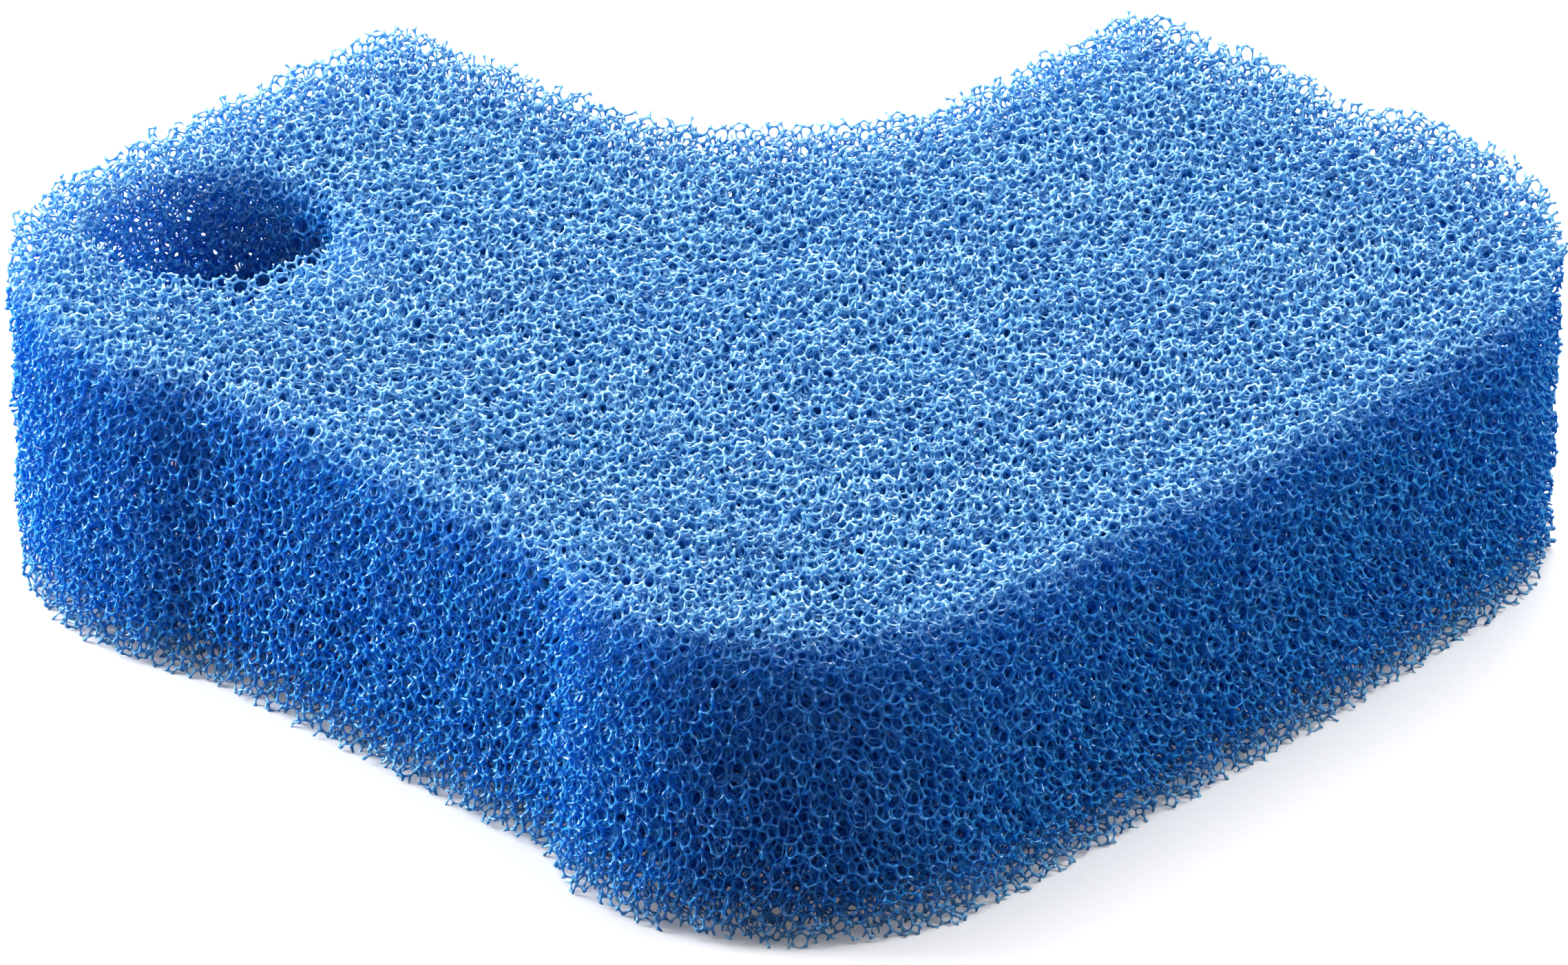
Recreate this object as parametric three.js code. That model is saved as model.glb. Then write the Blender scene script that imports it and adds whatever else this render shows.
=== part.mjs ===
// Filter sponge for a square canister filter basket: one slab of coarse open-cell foam, die-cut
// through its whole thickness. The slab has three rounded corners, a stepped-in front side, a shaft
// notch in place of the fourth corner, and a round hole for a pipe or heater.
// Millimetres, +Z up. The origin is at the middle of the slab's bounding rectangle, on its underside.
// X runs along the stepped front side, which faces -Y, and Y runs along the bowed right side.

import * as THREE from "three";

// Driving dimensions.
const WIDTH = 190;
const DEPTH = 192;
const THICKNESS = 50;
const LEFT_CORNER_RADIUS = 44;
const FRONT_CORNER_RADIUS = 40;
const BACK_CORNER_RADIUS = 47;

const NOTCH_WIDTH = 81.5;
const NOTCH_DEPTH = 78;
const NOTCH_FILLET_RADIUS = 42;
const NOTCH_TIP_RADIUS = 2;

const PIPE_HOLE_RADIUS = 18;
const PIPE_HOLE_FROM_LEFT = 28;
const PIPE_HOLE_FROM_FRONT = 46.5;

// The front side has a lobe at its left, a shallow recess over its middle and a step out at its right.
const LEFT_LOBE_SETBACK = 6;
const LEFT_LOBE_END = -46;
const LEFT_LOBE_RADIUS = 16;
const RECESS_LEFT = -33;
const RECESS_LEFT_SETBACK = 10;
const CREASE_RADIUS = 6;
const RECESS_RIGHT = 36.5;
const RECESS_RIGHT_SETBACK = 5.5;
const STEP_FOOT_RADIUS = 5;
const STEP_SHOULDER = 48.5;
const STEP_SHOULDER_RADIUS = 8;

// The left and right sides bow out a little, and the back side has one shallow dip.
const LEFT_SIDE_BOW = 1.5;
const LEFT_BOW_FROM_FRONT = 90;
const RIGHT_SIDE_BOW = 3.5;
const RIGHT_BOW_FROM_FRONT = 110;
const SIDE_BOW_RADIUS = 300;
const BACK_DIP_X = 31;
const BACK_DIP_HALF_WIDTH = 11;
const BACK_DIP_DEPTH = 5;
const BACK_DIP_RADIUS = 10;

const ARC_STEP = Math.PI / 30;
const HOLE_SEGMENTS = 48;
const FOAM_BLUE = 0x2f7fd0;

// One corner of the plan outline, with the radius that rounds it. An inward corner rounds the same way.
const corner = (x, y, radius) => ({ point: new THREE.Vector2(x, y), radius });

// The plan outline's corners, counterclockwise from the left end of the front side.
function outlineCorners() {
  const left = -WIDTH / 2;
  const right = WIDTH / 2;
  const front = -DEPTH / 2;
  const back = DEPTH / 2;
  const notchRight = left + NOTCH_WIDTH;
  const notchFront = back - NOTCH_DEPTH;
  const lobeFront = front + LEFT_LOBE_SETBACK;
  return [
    corner(left + LEFT_SIDE_BOW, lobeFront, LEFT_CORNER_RADIUS),
    corner(LEFT_LOBE_END, lobeFront, LEFT_LOBE_RADIUS),
    corner(RECESS_LEFT, front + RECESS_LEFT_SETBACK, CREASE_RADIUS),
    corner(RECESS_RIGHT, front + RECESS_RIGHT_SETBACK, STEP_FOOT_RADIUS),
    corner(STEP_SHOULDER, front, STEP_SHOULDER_RADIUS),
    corner(right - RIGHT_SIDE_BOW, front, FRONT_CORNER_RADIUS),
    corner(right, front + RIGHT_BOW_FROM_FRONT, SIDE_BOW_RADIUS),
    corner(right - RIGHT_SIDE_BOW, back, BACK_CORNER_RADIUS),
    corner(BACK_DIP_X + BACK_DIP_HALF_WIDTH, back, BACK_DIP_RADIUS),
    corner(BACK_DIP_X, back - BACK_DIP_DEPTH, BACK_DIP_RADIUS),
    corner(BACK_DIP_X - BACK_DIP_HALF_WIDTH, back, BACK_DIP_RADIUS),
    corner(notchRight, back, NOTCH_TIP_RADIUS),
    corner(notchRight, notchFront, NOTCH_FILLET_RADIUS),
    corner(left + LEFT_SIDE_BOW, notchFront, NOTCH_TIP_RADIUS),
    corner(left, front + LEFT_BOW_FROM_FRONT, SIDE_BOW_RADIUS),
  ];
}

// The points of the arc that rounds one corner, from the side it comes in on to the side it leaves on.
function roundedCorner(before, here, after) {
  const towardsBefore = before.point.clone().sub(here.point).normalize();
  const towardsAfter = after.point.clone().sub(here.point).normalize();
  const halfAngle = Math.acos(towardsBefore.dot(towardsAfter)) / 2;
  const middle = towardsBefore.clone().add(towardsAfter).normalize();
  const centre = here.point.clone().addScaledVector(middle, here.radius / Math.sin(halfAngle));
  const tangentLength = here.radius / Math.tan(halfAngle);
  const first = here.point.clone().addScaledVector(towardsBefore, tangentLength).sub(centre);
  const last = here.point.clone().addScaledVector(towardsAfter, tangentLength).sub(centre);
  const sweep = Math.atan2(first.cross(last), first.dot(last));
  const steps = Math.max(2, Math.ceil(Math.abs(sweep) / ARC_STEP));
  const points = [];
  for (let i = 0; i <= steps; i++) {
    const turned = first.clone().rotateAround(new THREE.Vector2(), (sweep * i) / steps);
    points.push(turned.add(centre));
  }
  return points;
}

function roundedOutline(corners) {
  const count = corners.length;
  return corners.flatMap((here, i) =>
    roundedCorner(corners[(i + count - 1) % count], here, corners[(i + 1) % count]),
  );
}

// The pipe hole runs through the whole thickness near the left corner.
function pipeHole() {
  const hole = new THREE.Path();
  const x = -WIDTH / 2 + PIPE_HOLE_FROM_LEFT;
  const y = -DEPTH / 2 + PIPE_HOLE_FROM_FRONT;
  hole.absarc(x, y, PIPE_HOLE_RADIUS, 0, 2 * Math.PI, true);
  return new THREE.Path(hole.getSpacedPoints(HOLE_SEGMENTS).slice(0, -1));
}

function foamBlock() {
  const plan = new THREE.Shape(roundedOutline(outlineCorners()));
  plan.holes.push(pipeHole());
  const solid = new THREE.ExtrudeGeometry(plan, { depth: THICKNESS, bevelEnabled: false });
  const foam = new THREE.MeshStandardMaterial({ color: FOAM_BLUE, roughness: 0.55, metalness: 0 });
  const mesh = new THREE.Mesh(solid, foam);
  mesh.name = "foam_block";
  return mesh;
}

const filterSponge = new THREE.Group();
filterSponge.add(foamBlock());

export default filterSponge;
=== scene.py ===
"""Filter sponge: a die-cut slab of open-cell foam, modelled as the foam's real network of struts."""
import itertools
import math

import bpy
import numpy as np
from mathutils import Euler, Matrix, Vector


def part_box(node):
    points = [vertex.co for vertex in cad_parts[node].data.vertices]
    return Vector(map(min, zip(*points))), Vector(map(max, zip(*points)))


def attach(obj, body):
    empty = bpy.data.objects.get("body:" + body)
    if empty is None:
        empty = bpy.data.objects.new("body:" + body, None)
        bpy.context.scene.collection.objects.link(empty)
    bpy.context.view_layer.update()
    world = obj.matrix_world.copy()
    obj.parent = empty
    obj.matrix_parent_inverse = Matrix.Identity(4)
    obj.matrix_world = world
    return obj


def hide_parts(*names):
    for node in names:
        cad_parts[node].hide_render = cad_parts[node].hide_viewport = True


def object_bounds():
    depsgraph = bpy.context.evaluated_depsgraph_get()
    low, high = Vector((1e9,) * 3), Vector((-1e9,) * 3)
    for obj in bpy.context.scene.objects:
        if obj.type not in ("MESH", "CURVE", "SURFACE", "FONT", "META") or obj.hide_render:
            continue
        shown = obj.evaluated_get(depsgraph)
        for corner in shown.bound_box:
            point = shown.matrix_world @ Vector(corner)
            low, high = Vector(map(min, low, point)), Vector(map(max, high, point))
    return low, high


MM = 0.001

FOAM_NODE = "foam_block"

# The foam's cells. One cube of cells repeats through the slab, turned so that no cut shows a repeat.
# The core has wider cells, to save triangles. It is a network of its own, which reaches a little into the
# outer layer.
CELL_SPACING = 2.6 * MM
CORE_SPACING = 5 * MM
CORE_DEPTH = 6.5 * MM
CORE_OVERLAP = 1.5 * MM
TILE_CELLS = 1000
RISE_STRETCH = 1.1
TILE_TURN = (0.41, 0.63, 0.29)
WARP_REACH = 0.8 * MM
WARP_WAVE = 47 * MM
SEED = 7

# How the cells are made even, in cell spacings: two centres nearer than the push reach move apart.
RELAX_STEPS = 40
RELAX_BATCH = 250
PUSH_REACH = 1.35
PUSH_SHARE = 0.35
NEAREST_SEEDS = 26
FARTHEST_VERTEX_SQUARED = 1.6
SMOOTHING_STEPS = 3
TOUCHING = 1e-6

# The struts are three-sided. A reach is how far a strut's ridge stands from its axis, into a window.
NODE_REACH = 0.33 * MM
STRUT_REACH = 0.14 * MM
REACH_SPREAD = 0.12
STUB_SHARES = (0.3, 1.0)

# The wire that cuts the slab leaves soft waves in its faces.
CUT_WAVE = 16 * MM
CUT_WAVE_REACH = 0.6 * MM

# Deeper than this below every cut face the struts are thinner plain prisms, to save triangles.
DETAIL_DEPTH = 2.5 * MM
DEEP_REACH_SHARE = 0.78

# A piece of the network stays under the size at which an exported mesh would be thinned out.
MOST_TRIANGLES_IN_PIECE = 150_000
TRIANGLES_OF_NODE = 28
TRIANGLES_OF_DEEP_NODE = 16

# The foam's blues, as linear colours: deep where the dye lies thick, and pale where it lies thin.
DEEP_BLUE = (0.012, 0.33, 0.81)
DEEP_CYAN = (0.010, 0.36, 0.80)
PALE_BLUE = (0.06, 0.49, 0.87)
PALE_CYAN = (0.055, 0.53, 0.86)
GLOW_BLUE = (0.005, 0.34, 0.95)
GLOW_SHARE = 0.40
DYE_DRIFT_SIZE = 40 * MM
DYE_SIZE = 2.5 * MM

# The skin of the struts: how its polish varies, and how high its fine lumps stand.
POLISH_SIZE = 0.35 * MM
ROUGHNESS = (0.06, 0.22)
SKIN_IOR = 1.6
LUMP_STRENGTH = 0.15
LUMP_HEIGHT = 0.03 * MM

# Painted light: near the slab's top and underside the foam is painted paler than on its sides, standing
# in for the light on the top face. This painted light fades out at the given depth.
PAINTED_LIGHT_BLUE = (0.26, 0.64, 0.86)
PAINTED_LIGHT_GLOW = (0.15, 0.54, 0.92)
PAINTED_LIGHT_DEPTH = 6.5 * MM

# The soft round lights: name, place, width, watts, and whether matt and glossy reflections show them.
LIGHTS = [
    ("key", (0.6, 0.55, 1.1), 0.6, 10, True, False),
    ("overhead", (-0.3, 0.1, 1.1), 1.6, 19, True, False),
    ("sheen", (-0.75, 0.85, 0.7), 1.2, 55, False, True),
    ("top_sheen", (-0.2, 0.3, 1.2), 1.6, 80, False, True),
    ("back", (-1.0, 0.8, 0.4), 0.9, 10, True, False),
    ("left", (-1.0, -0.6, 0.3), 0.7, 33, True, True),
    ("front", (0.45, -1.1, 0.05), 0.5, 2, True, False),
    ("right", (1.1, 0.5, 0.25), 0.5, 5, True, False),
]

# Small hard lights for the gloss of the struts alone.
GLINT_PLACES = [(0.2, -1.3, 0.7), (-1.2, -0.3, 0.6), (1.2, 0.3, 0.6), (-0.5, 0.9, 1.0)]
GLINT_WIDTH = 0.4
GLINT_WATTS = 28

# The floor is a pale sheet that glows a little. Matt and glossy reflections leave it out, but its light
# still comes through the struts.
FLOOR_REACH = 6
FLOOR_GREY = 0.8
FLOOR_ROUGHNESS = 0.9
FLOOR_GLOW = 0.12

# Light passes from strut to strut many times in the foam.
DIFFUSE_BOUNCES = 12
MOST_BOUNCES = 16

CAMERA_AZIMUTH = math.radians(41.85)
CAMERA_ELEVATION = math.radians(28.08)
CAMERA_DISTANCE = 1.4057
CAMERA_OFFSET = Vector((19 * MM, -20.25 * MM, 0))
CAMERA_LENS = 224.5
CAMERA_CLIP = (0.05, 20)

# A foam vertex touches four cells. Two of them share a window, and three of them share a strut.
PAIRS = list(itertools.combinations(range(4), 2))
TRIPLES = [tuple(c for c in range(4) if c != k) for k in range(4)]
TRIPLE_PAIRS = np.array([[PAIRS.index(p) for p in itertools.combinations(t, 2)] for t in TRIPLES])

# The two ring corners on each of a strut's three sides. Each side faces that cell of the strut's triple.
STRUT_SIDES = ((0, 1), (0, 2), (1, 2))


# ---------------------------------------------------------------- the repeating cube of foam

def relaxed_seeds(rng):
    """Cell centres in a periodic cube, in cell spacings, pushed apart until the cells are nearly even."""
    size = TILE_CELLS ** (1 / 3)
    seeds = rng.random((TILE_CELLS, 3)) * size
    for _ in range(RELAX_STEPS):
        push = np.zeros_like(seeds)
        for first in range(0, TILE_CELLS, RELAX_BATCH):
            apart = seeds[first:first + RELAX_BATCH, None] - seeds[None]
            apart -= size * np.round(apart / size)
            far = np.sqrt((apart ** 2).sum(-1))
            far[far < TOUCHING] = np.inf
            pressure = np.clip(1 - far / PUSH_REACH, 0, None)
            push[first:first + RELAX_BATCH] = (apart / far[..., None] * pressure[..., None]).sum(1)
        seeds = (seeds + PUSH_SHARE * push) % size
    return seeds, size


def voronoi_vertices(seeds, size):
    """The points that are equally near four cells, with those cells' numbers and lattice offsets."""
    triples = np.array(list(itertools.combinations(range(NEAREST_SEEDS), 3)))
    found = {}
    for i, here in enumerate(seeds):
        apart = seeds - here
        wraps = -np.round(apart / size).astype(int)
        apart = apart + wraps * size
        order = np.argsort((apart ** 2).sum(1))[1:NEAREST_SEEDS + 1]
        near = apart[order]
        half = 0.5 * (near ** 2).sum(1)
        a, b, c = near[triples].transpose(1, 0, 2)
        ha, hb, hc = half[triples].T[..., None]
        volume = (a * np.cross(b, c)).sum(1)[:, None]
        volume[np.abs(volume) < TOUCHING] = np.nan
        centre = (ha * np.cross(b, c) + hb * np.cross(c, a) + hc * np.cross(a, b)) / volume
        close = (centre ** 2).sum(1) < FARTHEST_VERTEX_SQUARED
        centre, kept = centre[close], triples[close]
        nearer = centre @ near.T - half
        np.put_along_axis(nearer, kept, -1, 1)
        empty = (nearer < 1e-9).all(1)
        for point, three in zip(centre[empty], kept[empty]):
            cells = sorted([(i, (0, 0, 0))] + [(order[t], tuple(wraps[order[t]])) for t in three])
            base = np.array(cells[0][1])
            key = tuple((n, tuple(np.array(o) - base)) for n, o in cells)
            found.setdefault(key, here + point - base * size)
    keys = sorted(found)
    points = np.array([found[k] for k in keys])
    cells = np.array([[n for n, _ in k] for k in keys])
    offsets = np.array([[o for _, o in k] for k in keys])
    return points, cells, offsets


def strut_links(cells, offsets):
    """For each vertex's struts: the far vertex, its lattice shift, and the strut's number there."""
    count = len(cells)
    ends = {}
    for v in range(count):
        for k, triple in enumerate(TRIPLES):
            base = offsets[v, triple[0]]
            key = tuple((cells[v, c], *(offsets[v, c] - base)) for c in triple)
            ends.setdefault(key, []).append((v, k, base))
    far = np.zeros((count, 4), int)
    shift = np.zeros((count, 4, 3), int)
    far_strut = np.zeros((count, 4), int)
    for (v, k, base), (w, m, other) in (pair for pair in ends.values() if len(pair) == 2):
        far[v, k], shift[v, k], far_strut[v, k] = w, base - other, m
        far[w, m], shift[w, m], far_strut[w, m] = v, other - base, k
    loose = [pair for pair in ends.values() if len(pair) != 2]
    assert not loose, f"{len(loose)} struts have one end"
    return far, shift, far_strut


class FoamTile:
    """The periodic cube: its vertices, the struts between them, and which way round each face goes."""

    def __init__(self):
        rng = np.random.default_rng(SEED)
        seeds, self.size = relaxed_seeds(rng)
        self.points, cells, offsets = voronoi_vertices(seeds, self.size)
        self.far, self.shift, self.far_strut = strut_links(cells, offsets)
        for _ in range(SMOOTHING_STEPS):
            self.points = self.points + 0.5 * self.strut_vectors().mean(1)
        self.orient(seeds[cells] + offsets * self.size - self.points[:, None])

    def strut_vectors(self):
        return self.points[self.far] + self.shift * self.size - self.points[:, None]

    def orient(self, to_cells):
        """Whether each vertex face, strut side and cut end, made in the plain order, faces inwards."""
        along = self.strut_vectors()
        unit = along / np.linalg.norm(along, axis=2, keepdims=True)
        corner = window_directions(unit)
        self.side_flips = np.zeros((len(self.points), 4, 3), bool)
        self.end_flips = np.zeros((len(self.points), 4), bool)
        self.node_flips = np.zeros((len(self.points), 4), bool)
        for k, (triple, pairs) in enumerate(zip(TRIPLES, TRIPLE_PAIRS)):
            ring = [square_to(corner[:, p], unit[:, k]) for p in pairs]
            end = np.cross(ring[1] - ring[0], ring[2] - ring[0])
            self.end_flips[:, k] = (end * unit[:, k]).sum(1) < 0
            for side, (p, q) in enumerate(STRUT_SIDES):
                cell = triple[side]
                normal = np.cross(ring[q] - ring[p], unit[:, k])
                self.side_flips[:, k, side] = (normal * to_cells[:, cell]).sum(1) < 0
        for cell in range(4):
            a, b, c = [corner[:, i] for i, pair in enumerate(PAIRS) if cell in pair]
            normal = np.cross(b - a, c - a)
            self.node_flips[:, cell] = (normal * to_cells[:, cell]).sum(1) < 0


def window_directions(unit):
    """At each vertex, the way into each of its six windows, between the window's two struts."""
    ways = []
    for pair in PAIRS:
        first, second = [k for k in range(4) if k not in pair]
        way = unit[:, first] + unit[:, second]
        ways.append(way / np.maximum(np.linalg.norm(way, axis=1, keepdims=True), 1e-9))
    return np.stack(ways, 1)


def square_to(way, axis):
    """The unit vectors of way with their part along axis taken out."""
    flat = way - (way * axis).sum(-1, keepdims=True) * axis
    return flat / np.maximum(np.linalg.norm(flat, axis=-1, keepdims=True), 1e-9)


# ---------------------------------------------------------------- the slab that the foam is cut to

class Slab:
    """The CAD node's outer shape: its plan outline with the hole, and its two flat faces."""

    def __init__(self, mesh):
        low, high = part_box(FOAM_NODE)
        self.low, self.high = np.array(low), np.array(high)
        once = {}
        for face in mesh.polygons:
            if face.normal.z > 0.9:
                ring = [tuple(np.round(mesh.vertices[v].co[:2], 6)) for v in face.vertices]
                for a, b in zip(ring, ring[1:] + ring[:1]):
                    edge = (min(a, b), max(a, b))
                    once[edge] = once.get(edge, 0) + 1
        self.walls = np.array(sorted(edge for edge, uses in once.items() if uses == 1))

    def plan_distance(self, points):
        """How far each plan point lies outside the outline, or inside it as a minus."""
        nearest = np.full(len(points), np.inf)
        inside = np.zeros(len(points), bool)
        for a, b in self.walls:
            along = b - a
            share = np.clip((points - a) @ along / (along @ along), 0, 1)
            nearest = np.minimum(nearest, np.linalg.norm(points - a - share[:, None] * along, axis=1))
            crosses = (points[:, 1] < a[1]) != (points[:, 1] < b[1])
            if a[1] != b[1]:
                at = a[0] + (points[:, 1] - a[1]) * along[0] / along[1]
                inside ^= crosses & (points[:, 0] < at)
        return np.where(inside, -nearest, nearest)

    def distance(self, points):
        """How far each point lies outside the slab with its wavy cuts, or inside it as a minus."""
        flat = self.plan_distance(points[:, :2])
        exact = np.maximum(flat, np.maximum(points[:, 2] - self.high[2], self.low[2] - points[:, 2]))
        phase = points * 2 * math.pi / CUT_WAVE
        return exact + CUT_WAVE_REACH * np.sin(phase + 2 * np.sin(np.roll(phase, 1, -1))).mean(-1)


# ---------------------------------------------------------------- the network inside the slab

class Network:
    """The foam vertices in one layer of the slab, their struts, and how deep each of them lies."""

    def __init__(self, tile, slab, spacing, top=0.0, bottom=math.inf):
        self.tile = tile
        self.spacing = spacing
        self.coarseness = spacing / CELL_SPACING
        copies = self.copies_over(slab)
        count = len(tile.points)
        placed = self.place(tile.points[None] + copies[:, None] * tile.size).reshape(-1, 3)
        margin = 2 * spacing
        near = ((placed > slab.low - margin) & (placed < slab.high + margin)).all(1)
        depth = np.full(len(placed), -margin)
        depth[near] = -slab.distance(placed[near])
        inside = np.minimum(depth - top, bottom - depth)
        kept = np.flatnonzero(inside > 0)

        low = copies.min(0)
        span = copies.max(0) - low + 1
        copy_at = np.full(span.prod(), -1)
        copy_at[np.ravel_multi_index((copies - low).T, span)] = np.arange(len(copies))
        template = kept % count
        far_copy = copies[kept // count][:, None] + tile.shift[template]
        far_copy = copy_at[np.ravel_multi_index(np.moveaxis(far_copy - low, -1, 0), span)]
        far = far_copy * count + tile.far[template]
        row = np.full(len(placed), -1)
        row[kept] = np.arange(len(kept))

        kept, template, far = self.joined(kept, template, far, row)
        row[:] = -1
        row[kept] = np.arange(len(kept))
        self.template = template
        self.points = placed[kept]
        self.far = row[far]
        self.far_strut = tile.far_strut[template]
        along = placed[far] - self.points[:, None]
        self.length = np.linalg.norm(along, axis=2)
        self.unit = along / self.length[..., None]
        near_side = inside[kept][:, None]
        far_side = np.maximum(-inside[far], 0)
        stub = np.random.default_rng(SEED).uniform(*STUB_SHARES, self.far.shape)
        self.cut_at = np.where(self.far < 0, stub * near_side / (near_side + far_side), 0.5)
        self.deep = depth[kept] > DETAIL_DEPTH

    def triangles(self):
        """About how many triangles each foam vertex and its halves of struts take."""
        return np.where(self.deep, TRIANGLES_OF_DEEP_NODE, TRIANGLES_OF_NODE)

    def copies_over(self, slab):
        reach = np.linalg.norm(slab.high - slab.low) / 2 / self.spacing / self.tile.size
        steps = np.arange(-math.ceil(reach) - 1, math.ceil(reach) + 2)
        return np.array(list(itertools.product(steps, repeat=3)))

    def place(self, points):
        """Tile points, in cell spacings, turned, stretched and gently warped into the slab's space."""
        turned = points @ np.array(Euler(TILE_TURN).to_matrix()).T * self.spacing
        turned[..., 2] *= RISE_STRETCH
        wave = turned * 2 * math.pi / WARP_WAVE
        return turned + WARP_REACH * np.sin(np.roll(wave, 1, -1) + 0.7 * np.cos(np.roll(wave, 2, -1)))

    def joined(self, kept, template, far, row):
        """Only the vertices that hang together with the rest, without the crumbs that a cut leaves."""
        label = np.arange(len(kept))
        ends = row[far]
        has = ends >= 0
        while True:
            best = label.copy()
            for k in range(4):
                best = np.minimum(best, np.where(has[:, k], label[ends[:, k]], label))
            best = best[best]
            if (best == label).all():
                break
            label = best
        values, counts = np.unique(label, return_counts=True)
        whole = label == values[counts.argmax()]
        return kept[whole], template[whole], far[whole]


# ---------------------------------------------------------------- meshes

def split_rows(net, rows, parts):
    """The rows cut across their longest side, again and again, into parts of about as many triangles."""
    if parts == 1:
        return [rows]
    spread = np.ptp(net.points[rows], axis=0)
    order = np.argsort(net.points[rows, spread.argmax()], kind="stable")
    weight = np.cumsum(net.triangles()[rows[order]])
    cut = np.searchsorted(weight, weight[-1] * (parts // 2) / parts)
    return (split_rows(net, rows[order[:cut]], parts // 2)
            + split_rows(net, rows[order[cut:]], parts - parts // 2))


def piece_mesh(name, net, rows):
    """One closed mesh of the struts round the given vertices. A strut that leaves the piece is capped."""
    tile = net.tile
    count = len(rows)
    place = np.full(len(net.points), -1)
    place[rows] = np.arange(count)
    rng = np.random.default_rng(SEED)
    thick = 1 + REACH_SPREAD * rng.standard_normal(len(net.points)).clip(-2, 2)
    thick = thick[rows, None, None] * net.coarseness
    unit = net.unit[rows]
    corners = window_directions(unit.reshape(count, 4, 3))
    node_reach = NODE_REACH * np.where(net.deep[rows], DEEP_REACH_SHARE, 1)[:, None, None]
    nodes = net.points[rows, None] + node_reach * thick * corners

    far = net.far[rows]
    twin_row = np.where(far >= 0, place[far], -1)
    twin_strut = net.far_strut[rows]
    own = np.arange(count)[:, None] * 4 + np.arange(4)
    twin = np.where(twin_row >= 0, twin_row * 4 + twin_strut, own)
    plain = (twin_row >= 0) & net.deep[rows, None] & net.deep[far]
    ring_of = np.minimum(own, twin)
    middle = net.points[rows, None] + unit * (net.length * net.cut_at)[rows][..., None]
    rings = np.zeros((count, 4, 3, 3))
    for k, pairs in enumerate(TRIPLE_PAIRS):
        for slot, pair in enumerate(pairs):
            way = square_to(corners[:, pair], unit[:, k])
            rings[:, k, slot] = middle[:, k] + STRUT_REACH * thick[:, 0] * way
    used = np.unique(ring_of[~plain])
    ring_at = np.searchsorted(used, ring_of)
    vertices = np.concatenate([nodes.reshape(-1, 3), rings.reshape(-1, 3, 3)[used].reshape(-1, 3)])

    node_corner = np.arange(count)[:, None] * 6
    ring_corner = count * 6 + ring_at * 3
    template = net.template[rows]
    quads, triangles = [], []
    for k, pairs in enumerate(TRIPLE_PAIRS):
        ringed = ~plain[:, k]
        once = plain[:, k] & (own[:, k] < twin[:, k])
        far_corner = twin_row[:, k, None] * 6 + TRIPLE_PAIRS[twin_strut[:, k]]
        for side, (p, q) in enumerate(STRUT_SIDES):
            near_edge = [node_corner[:, 0] + pairs[p], node_corner[:, 0] + pairs[q]]
            to_ring = np.stack(near_edge + [ring_corner[:, k] + q, ring_corner[:, k] + p], 1)
            to_node = np.stack(near_edge + [far_corner[:, q], far_corner[:, p]], 1)
            flip = tile.side_flips[template, k, side]
            quads.append(turned_round(to_ring, flip)[ringed])
            quads.append(turned_round(to_node, flip)[once])
        cap = np.stack([ring_corner[:, k] + slot for slot in range(3)], 1)
        triangles.append(turned_round(cap, tile.end_flips[template, k])[twin[:, k] == own[:, k]])
    for cell in range(4):
        face = node_corner + [i for i, pair in enumerate(PAIRS) if cell in pair]
        triangles.append(turned_round(face, tile.node_flips[template, cell]))
    return mesh_from(name, vertices, np.concatenate(quads), np.concatenate(triangles))


def turned_round(faces, flip):
    """The faces with their corners in the other order where flip says so."""
    return np.where(flip[:, None], faces[:, ::-1], faces)


def mesh_from(name, vertices, quads, triangles):
    mesh = bpy.data.meshes.new(name)
    mesh.vertices.add(len(vertices))
    mesh.vertices.foreach_set("co", vertices.astype(np.float32).ravel())
    loops = np.concatenate([quads.ravel(), triangles.ravel()]).astype(np.int32)
    sizes = np.concatenate([np.full(len(quads), 4), np.full(len(triangles), 3)])
    mesh.loops.add(len(loops))
    mesh.loops.foreach_set("vertex_index", loops)
    mesh.polygons.add(len(sizes))
    mesh.polygons.foreach_set("loop_start", (np.cumsum(sizes) - sizes).astype(np.int32))
    mesh.update(calc_edges=True)
    mesh.shade_smooth()
    mesh.validate()
    return mesh


def foam_pieces(slab, material):
    tile = FoamTile()
    outer = Network(tile, slab, CELL_SPACING, bottom=CORE_DEPTH)
    core = Network(tile, slab, CORE_SPACING, top=CORE_DEPTH - CORE_OVERLAP)
    made = []
    for kind, net in (("network", outer), ("core", core)):
        parts = math.ceil(net.triangles().sum() / MOST_TRIANGLES_IN_PIECE)
        for i, rows in enumerate(split_rows(net, np.arange(len(net.points)), parts)):
            name = f"foam_{kind}_{i + 1:02d}"
            piece = bpy.data.objects.new(name, piece_mesh(name, net, rows))
            piece.data.materials.append(material)
            bpy.context.scene.collection.objects.link(piece)
            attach(piece, "root")
            made.append(piece)
    return made


# ---------------------------------------------------------------- materials, light and camera

def noise(tree, size, detail):
    """A noise value, from 0 to 1, whose lumps are about the given size across."""
    place = tree.nodes.new("ShaderNodeTexCoord")
    node = tree.nodes.new("ShaderNodeTexNoise")
    node.inputs["Scale"].default_value = 1 / size
    node.inputs["Detail"].default_value = detail
    tree.links.new(place.outputs["Object"], node.inputs["Vector"])
    return node.outputs["Fac"]


def ranged(tree, value, low, high, first=0.3, last=0.7):
    """The value, spread from first to last, which noise seldom leaves, over low to high."""
    node = tree.nodes.new("ShaderNodeMapRange")
    node.inputs["From Min"].default_value = first
    node.inputs["From Max"].default_value = last
    node.inputs["To Min"].default_value = low
    node.inputs["To Max"].default_value = high
    tree.links.new(value, node.inputs["Value"])
    return node.outputs["Result"]


def blended(tree, share, first, second):
    """A colour between two others, which may be sockets or plain colours."""
    node = tree.nodes.new("ShaderNodeMix")
    node.data_type = "RGBA"
    tree.links.new(share, node.inputs["Factor"])
    for colour, socket in ((first, node.inputs["A"]), (second, node.inputs["B"])):
        if isinstance(colour, tuple):
            socket.default_value = (*colour, 1)
        else:
            tree.links.new(colour, socket)
    return node.outputs["Result"]


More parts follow.
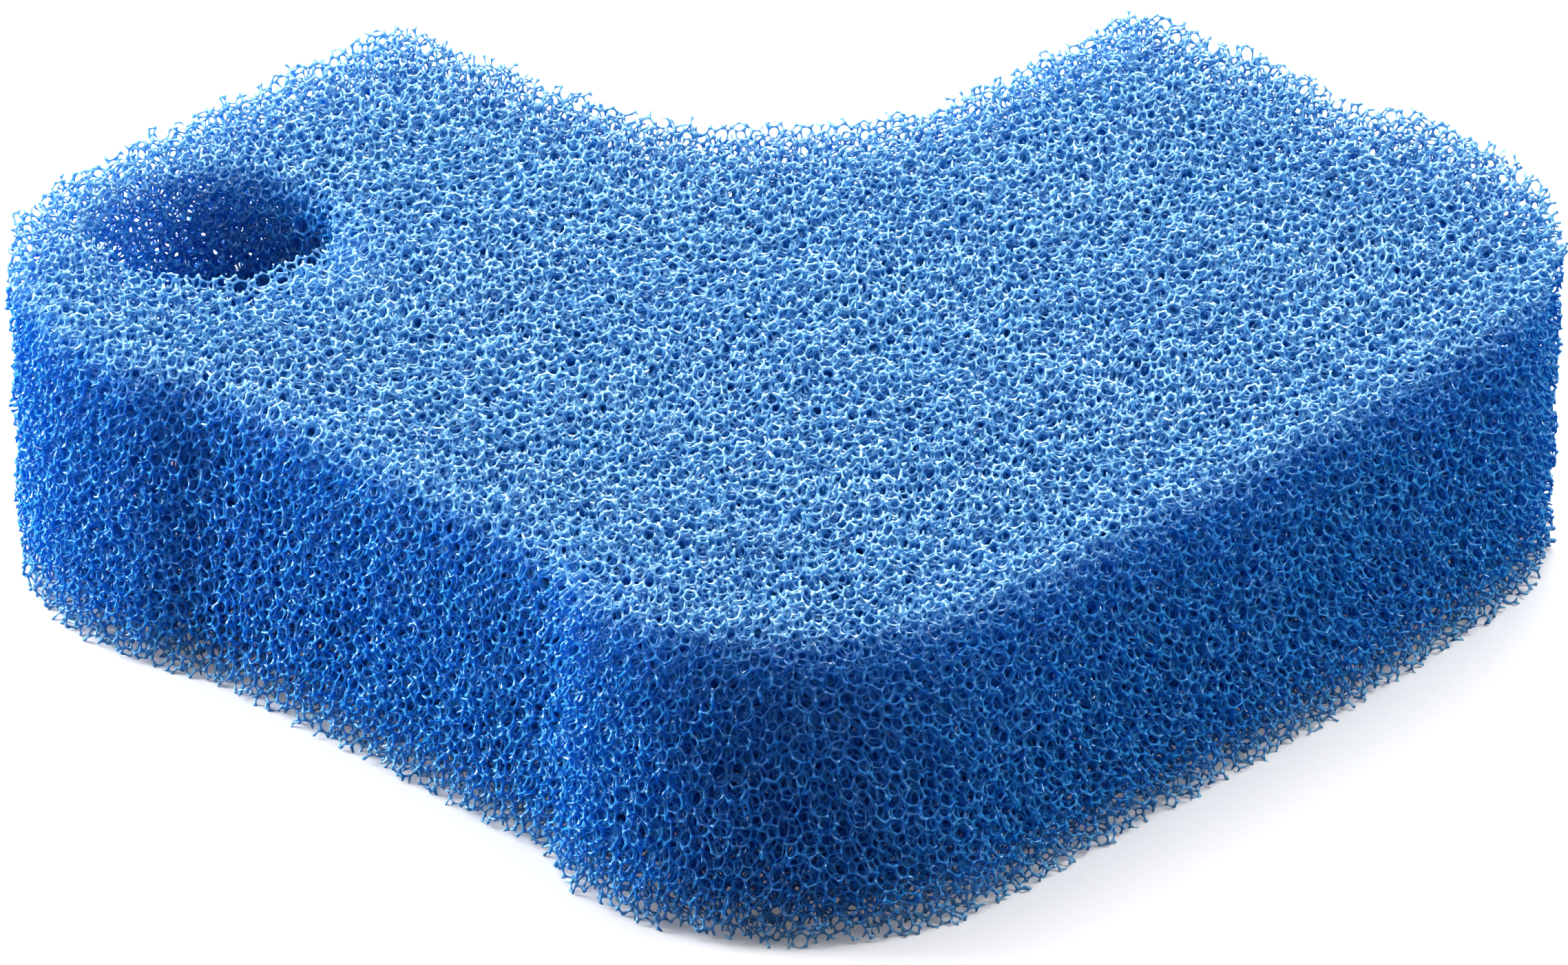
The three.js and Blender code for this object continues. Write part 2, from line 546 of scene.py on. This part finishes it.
def painted_light_share(tree):
    """How much painted light a place gets: 1 on the slab's top and underside, and 0 in between."""
    low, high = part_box(FOAM_NODE)
    place = tree.nodes.new("ShaderNodeTexCoord")
    apart = tree.nodes.new("ShaderNodeSeparateXYZ")
    tree.links.new(place.outputs["Object"], apart.inputs["Vector"])
    from_middle = tree.nodes.new("ShaderNodeMath")
    from_middle.operation = "SUBTRACT"
    from_middle.inputs[1].default_value = (low.z + high.z) / 2
    tree.links.new(apart.outputs["Z"], from_middle.inputs[0])
    either_way = tree.nodes.new("ShaderNodeMath")
    either_way.operation = "ABSOLUTE"
    tree.links.new(from_middle.outputs["Value"], either_way.inputs[0])
    half = (high.z - low.z) / 2
    return ranged(tree, either_way.outputs["Value"], 0, 1, half - PAINTED_LIGHT_DEPTH, half)


def foam_material():
    """Dyed polyurethane: glossy skinned struts that let some light through, uneven in dye and polish,
    with painted light making them paler towards the slab's top and underside.
    """
    material = bpy.data.materials.new("blue_foam")
    material.use_nodes = True
    tree = material.node_tree
    shader = tree.nodes["Principled BSDF"]
    drift = ranged(tree, noise(tree, DYE_DRIFT_SIZE, 2), 0, 1)
    dye = ranged(tree, noise(tree, DYE_SIZE, 3), 0, 1)
    deep = blended(tree, drift, DEEP_BLUE, DEEP_CYAN)
    pale = blended(tree, drift, PALE_BLUE, PALE_CYAN)
    # Painted light: the base colour is painted paler towards the slab's top and underside.
    painted_light_mask = painted_light_share(tree)
    colour = blended(tree, painted_light_mask, blended(tree, dye, deep, pale), PAINTED_LIGHT_BLUE)
    tree.links.new(colour, shader.inputs["Base Color"])
    fine = noise(tree, POLISH_SIZE, 4)
    tree.links.new(ranged(tree, fine, *ROUGHNESS), shader.inputs["Roughness"])
    shader.inputs["IOR"].default_value = SKIN_IOR
    bump = tree.nodes.new("ShaderNodeBump")
    bump.inputs["Strength"].default_value = LUMP_STRENGTH
    bump.inputs["Distance"].default_value = LUMP_HEIGHT
    tree.links.new(fine, bump.inputs["Height"])
    tree.links.new(bump.outputs["Normal"], shader.inputs["Normal"])
    glow = tree.nodes.new("ShaderNodeBsdfTranslucent")
    # Painted light: the glow colour is also painted paler towards the slab's top and underside.
    tree.links.new(blended(tree, painted_light_mask, GLOW_BLUE, PAINTED_LIGHT_GLOW), glow.inputs["Color"])
    mix = tree.nodes.new("ShaderNodeMixShader")
    mix.inputs["Fac"].default_value = GLOW_SHARE
    tree.links.new(shader.outputs["BSDF"], mix.inputs[1])
    tree.links.new(glow.outputs["BSDF"], mix.inputs[2])
    tree.links.new(mix.outputs["Shader"], tree.nodes["Material Output"].inputs["Surface"])
    return material


def softbox(name, place, width, watts, matt, glossy):
    """A round soft light that looks at the object's middle."""
    light = bpy.data.lights.new(name, "AREA")
    light.shape = "DISK"
    light.size = width
    light.energy = watts
    lamp = bpy.data.objects.new(name, light)
    lamp.location = place
    lamp.rotation_euler = (-lamp.location).to_track_quat("-Z", "Y").to_euler()
    lamp.visible_diffuse = matt
    lamp.visible_glossy = glossy
    bpy.context.scene.collection.objects.link(lamp)


def floor_and_light():
    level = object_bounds()[0].z
    mesh = bpy.data.meshes.new("floor")
    corners = [(-1, -1), (1, -1), (1, 1), (-1, 1)]
    mesh.from_pydata([(x * FLOOR_REACH, y * FLOOR_REACH, level) for x, y in corners], [], [(0, 1, 2, 3)])
    floor = bpy.data.objects.new("floor", mesh)
    bpy.context.scene.collection.objects.link(floor)
    white = bpy.data.materials.new("floor")
    white.use_nodes = True
    shader = white.node_tree.nodes["Principled BSDF"]
    shader.inputs["Base Color"].default_value = (FLOOR_GREY,) * 3 + (1,)
    shader.inputs["Roughness"].default_value = FLOOR_ROUGHNESS
    shader.inputs["Emission Color"].default_value = (1, 1, 1, 1)
    shader.inputs["Emission Strength"].default_value = FLOOR_GLOW
    mesh.materials.append(white)
    floor.visible_diffuse = False
    floor.visible_glossy = False

    world = bpy.data.worlds.new("studio")
    bpy.context.scene.world = world
    world.use_nodes = True
    world.node_tree.nodes["Background"].inputs["Color"].default_value = (1, 1, 1, 1)
    world.node_tree.nodes["Background"].inputs["Strength"].default_value = 1.0
    world.cycles_visibility.diffuse = False
    world.cycles_visibility.glossy = False

    for light in LIGHTS:
        softbox(*light)
    for number, place in enumerate(GLINT_PLACES):
        softbox(f"glints_{number + 1}", place, GLINT_WIDTH, GLINT_WATTS, False, True)
    scene = bpy.context.scene
    scene.cycles.diffuse_bounces = DIFFUSE_BOUNCES
    scene.cycles.max_bounces = MOST_BOUNCES
    scene.view_settings.view_transform = "Standard"


def photo_camera(middle):
    target = middle + CAMERA_OFFSET
    back = Vector((math.sin(CAMERA_AZIMUTH) * math.cos(CAMERA_ELEVATION),
                   -math.cos(CAMERA_AZIMUTH) * math.cos(CAMERA_ELEVATION),
                   math.sin(CAMERA_ELEVATION)))
    data = bpy.data.cameras.new("camera")
    data.lens = CAMERA_LENS
    data.clip_start, data.clip_end = CAMERA_CLIP
    camera = bpy.data.objects.new("camera", data)
    camera.location = target + CAMERA_DISTANCE * back
    camera.rotation_euler = back.to_track_quat("Z", "Y").to_euler()
    bpy.context.scene.collection.objects.link(camera)
    bpy.context.scene.camera = camera


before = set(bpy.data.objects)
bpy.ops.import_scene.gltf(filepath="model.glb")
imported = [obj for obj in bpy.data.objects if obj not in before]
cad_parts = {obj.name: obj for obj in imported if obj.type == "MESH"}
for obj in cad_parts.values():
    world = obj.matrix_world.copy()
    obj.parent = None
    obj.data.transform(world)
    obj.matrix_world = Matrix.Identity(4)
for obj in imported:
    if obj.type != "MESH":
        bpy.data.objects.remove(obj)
cad_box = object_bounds()
photo_camera((cad_box[0] + cad_box[1]) / 2)
floor_and_light()
pieces = foam_pieces(Slab(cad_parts[FOAM_NODE].data), foam_material())
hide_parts(FOAM_NODE)
